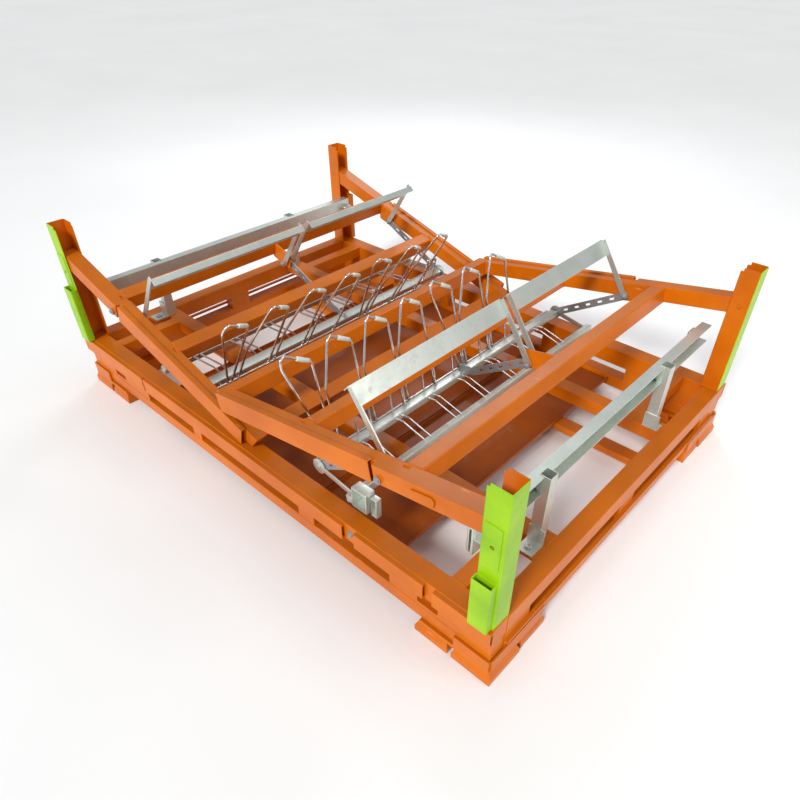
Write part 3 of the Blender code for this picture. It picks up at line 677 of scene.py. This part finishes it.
def openBracket(name, low, high, body, wall=0.0025, edge=0.003):
    # a folded plate bracket, open at the end that faces the front
    bracket = boxBar(name, low, high, edge, 3)
    pick(bracket)
    bpy.ops.object.mode_set(mode="EDIT")
    bpy.ops.mesh.select_mode(type="FACE")
    bpy.ops.mesh.select_all(action="DESELECT")
    bpy.ops.object.mode_set(mode="OBJECT")
    for face in bracket.data.polygons:
        face.select = face.normal.y < -0.99
    bpy.ops.object.mode_set(mode="EDIT")
    bpy.ops.mesh.inset(thickness=wall)
    depth = high[1] - low[1] - wall
    bpy.ops.mesh.extrude_region_move(TRANSFORM_OT_translate={"value": (0, depth, 0)})
    bpy.ops.object.mode_set(mode="OBJECT")
    smoothByAngle(bracket, 40)
    return finish(bracket, body, zinc, "zinc")


body = "right_gate"
openBracket("combBracket", (0.5345, -0.728, 0.272), (0.600, -0.688, 0.352), body)
openBracket("combBracketTab", (0.602, -0.712, 0.262), (0.628, -0.690, 0.338), body, 0.002, 0.002)
corners = [(sx, sy) for sx in (-1, 1) for sy in (-1, 1)]
for sx, sy in corners:
    name = ("back" if sy > 0 else "front") + ("Right" if sx > 0 else "Left") + "SupportEnd"
    xs, ys = sorted((sx * 0.956, sx * 0.9815)), sorted((sy * 0.699, sy * 0.650))
    openBracket(name, (xs[0], ys[0], 0.364), (xs[1], ys[1], 0.470), "base", 0.003, 0.006)
print("fittings made")

# weld beads: a short ripple along each seam
weldLook = {"radius": 0.0030, "step": 0.006, "ripple": 0.0007}


def longEdges(bead, length):
    bpy.ops.object.mode_set(mode="OBJECT")
    for edge in bead.data.edges:
        first, second = (bead.data.vertices[i].co for i in edge.vertices)
        edge.select = abs(first.z - second.z) > length * 0.9
    bpy.ops.object.mode_set(mode="EDIT")


def weldBead(start, end, seed):
    start, end = Vector(start), Vector(end)
    length = (end - start).length
    bead = roundBar("bead", (0, 0, -length / 2), (0, 0, length / 2), weldLook["radius"], 8, 0)
    pick(bead)
    bpy.ops.object.mode_set(mode="EDIT")
    bpy.ops.mesh.select_all(action="DESELECT")
    bpy.ops.mesh.select_mode(type="EDGE")
    longEdges(bead, length)
    bpy.ops.mesh.subdivide(number_cuts=max(4, min(40, int(length / weldLook["step"]))))
    bpy.ops.mesh.select_all(action="SELECT")
    bpy.ops.transform.vertex_random(offset=weldLook["ripple"], seed=seed)
    bpy.ops.object.mode_set(mode="OBJECT")
    bead.matrix_world = standAt((start + end) / 2, end - start)
    applyPlace(bead)
    smoothByAngle(bead, 60)
    return bead


def layBeads(seams, name, body, firstSeed):
    beads = [weldBead(start, end, firstSeed + i) for i, (start, end) in enumerate(seams)]
    finish(joinAll(beads, name), body, orange, "orange")
    return firstSeed + len(seams)


seed = 1
for side, gate in gates.items():
    seams = []
    for start, end in gate["beams"]:
        for y in (-0.7083, 0.7083):
            for above in (0.0295, -0.0295):
                first = onGate(gate, start + 0.004, y, above)
                seams.append((first, onGate(gate, end - 0.004, y, above)))
            for along in (start, end) if end < 1.1 else ():
                seams.append((onGate(gate, along, y, -0.026), onGate(gate, along, y, 0.026)))
    seed = layBeads(seams, side + "GateWelds", side + "_gate", seed)
seams = []
for sx, sy in corners:
    seams += [
        ((sx * 1.052, sy * 0.7035, 0.2415), (sx * 1.120, sy * 0.7035, 0.2415)),
        ((sx * 1.123, sy * 0.706, 0.2415), (sx * 1.123, sy * 0.772, 0.2415)),
        ((sx * 1.064, sy * 0.7108, 0.2395), (sx * 1.122, sy * 0.7108, 0.2395)),
    ]
for sx in (-1, 1):
    for low, high in ((-0.435, -0.370), (0.305, 0.370)):
        seams.append(((sx * 1.0629, low + 0.004, 0.2392), (sx * 1.0629, high - 0.004, 0.2392)))
    for y in (-0.7108, 0.7108):
        seams.append(((sx * 0.927, y, 0.2385), (sx * 0.978, y, 0.2385)))
layBeads(seams, "baseWelds", "base", seed)
print("welds laid")

stage = {"floor": (0.90, 0.90, 0.90, 1), "sky": (0.95, 0.97, 1.0, 1), "skyStrength": 0.46}


def paleFloor():
    nothingSelected()
    bpy.ops.mesh.primitive_plane_add(size=60, location=(0, 0, -0.0004))
    floor = bpy.context.object
    floor.name = "floor"
    f = Finish("floorPaint")
    f.set(Base_Color=f.mix(f.noise(0.7, 3), stage["floor"], (0.80, 0.80, 0.80, 1)), Roughness=0.7)
    floor.data.materials.append(f.material)


def softLight(name, kind, place, size, power, colour):
    lamp = bpy.data.objects.new(name, bpy.data.lights.new(name, kind))
    bpy.context.scene.collection.objects.link(lamp)
    if kind == "SUN":
        lamp.data.angle = math.radians(size)
    else:
        lamp.data.shape, lamp.data.size, lamp.data.size_y = "RECTANGLE", size[0], size[1]
    lamp.data.energy, lamp.data.color = power, colour
    lamp.location = place
    lamp.rotation_euler = (Vector((0, 0, 0.3)) - Vector(place)).to_track_quat("-Z", "Y").to_euler()


paleFloor()
lamps = {
    "keyLight": ("SUN", (0.8, -3.8, 3.6), 14, 2.5, (1.0, 1.0, 0.98)),
    "fillLight": ("AREA", (3.8, 0.6, 2.2), (2.0, 1.4), 34, (1.0, 0.97, 0.93)),
    "backLight": ("AREA", (-2.6, 3.2, 3.2), (2.4, 1.6), 60, (0.94, 0.97, 1.0)),
    "topLight": ("AREA", (0, 0, 4.2), (1.2, 3.4), 20, (1.0, 1.0, 1.0)),
}
for name, settings in lamps.items():
    softLight(name, *settings)
world = bpy.data.worlds.new("studio")
world.use_nodes = True
world.node_tree.nodes["Background"].inputs["Color"].default_value = stage["sky"]
world.node_tree.nodes["Background"].inputs["Strength"].default_value = stage["skyStrength"]
bpy.context.scene.world = world
bpy.context.scene.view_settings.view_transform = "Standard"

eye = {
    "place": (1.6095, -1.6316, 1.7002), "azimuth": 41.703, "elevation": 40.158, "roll": 0.549,
    "lens": 28.59, "shift": (-0.0214, 0.0542),
}
camera = bpy.data.objects.new("mainCamera", bpy.data.cameras.new("mainCamera"))
bpy.context.scene.collection.objects.link(camera)
azimuth, elevation, roll = (math.radians(eye[key]) for key in ("azimuth", "elevation", "roll"))
level = math.cos(elevation)
backward = Vector((math.sin(azimuth) * level, -math.cos(azimuth) * level, math.sin(elevation)))
camera.location = eye["place"]
turn = backward.to_track_quat("Z", "Y").to_matrix() @ Matrix.Rotation(roll, 3, "Z")
camera.rotation_euler = turn.to_euler()
camera.data.sensor_width, camera.data.lens = 36, eye["lens"]
camera.data.shift_x, camera.data.shift_y = eye["shift"]
bpy.context.scene.camera = camera
print("camera set")
